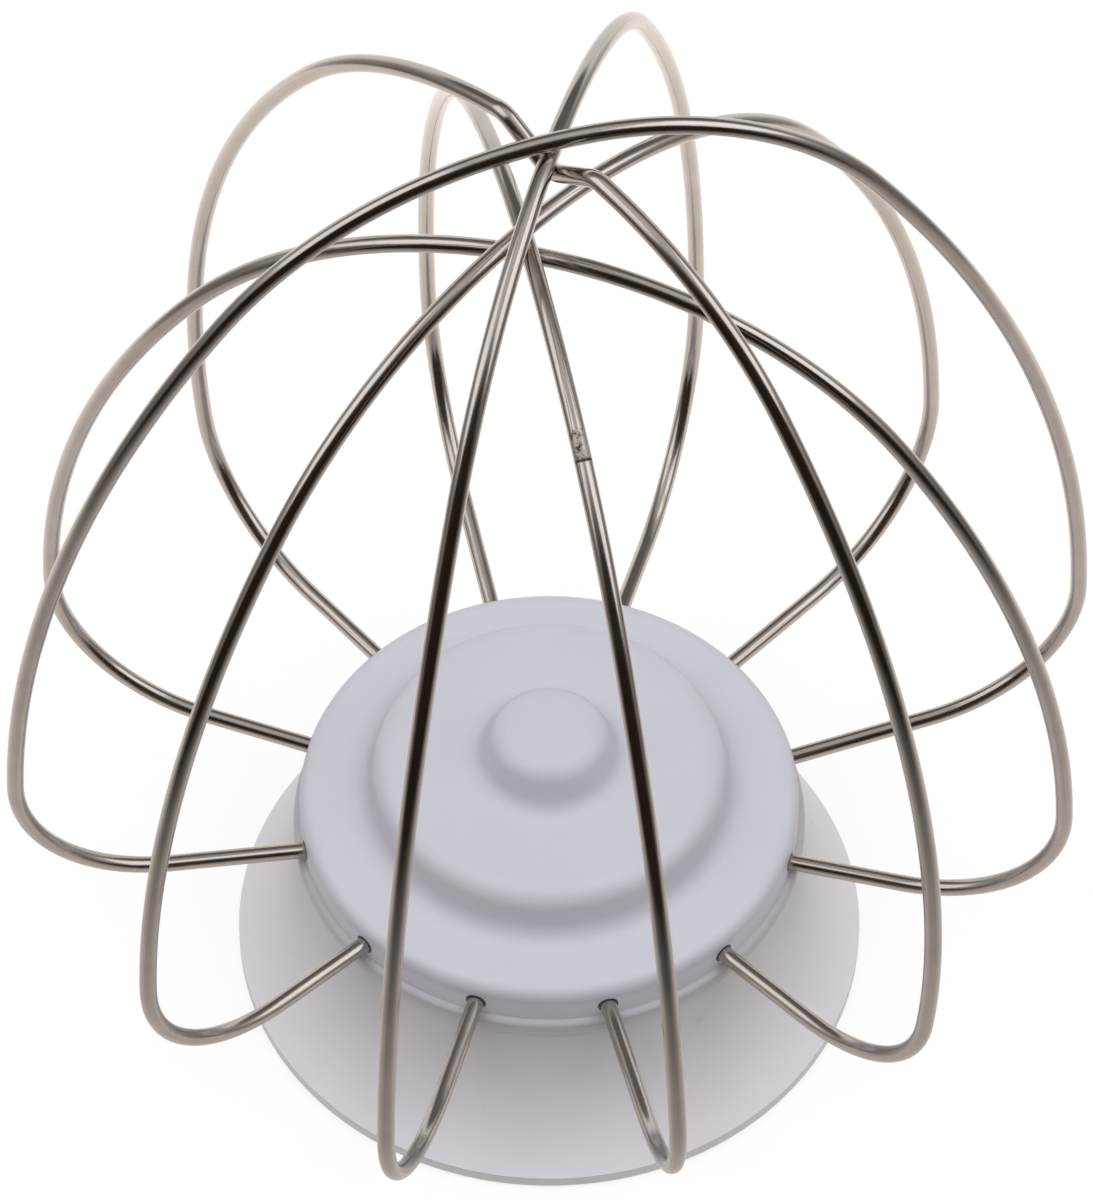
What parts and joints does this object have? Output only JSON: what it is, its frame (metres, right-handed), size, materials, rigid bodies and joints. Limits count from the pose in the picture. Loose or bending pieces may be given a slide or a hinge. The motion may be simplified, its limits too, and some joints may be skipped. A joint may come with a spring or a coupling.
{
  "type": "wire whisk",
  "caption": "Balloon whisk for a stand mixer: bent steel wire loops that cross at the crown, seated in a round moulded plastic hub with a stepped cap, a flared base and a drive socket.",
  "frame": {"origin": "on the whisk's axis, in the plane of the base's rim, on which it stands", "axes": "+Z along the whisk's axis from the hub to the crown of the wire loops, -Y towards the camera of the picture, +X to its right"},
  "size_m": [0.1213, 0.1202, 0.1402],
  "materials": {
    "base_plastic": "satin moulded",
    "cap_plastic": "satin moulded",
    "wire": "polished stainless wire"
  },
  "bodies": {
    "root": {"hub_base": "base_plastic", "hub_cap": "cap_plastic", "outer_loop_top": "wire", "outer_loop_middle": "wire", "outer_loop_crimped": "wire", "inner_loop_top": "wire", "inner_loop_middle": "wire", "inner_loop_bottom": "wire"}
  },
  "joints": []
}
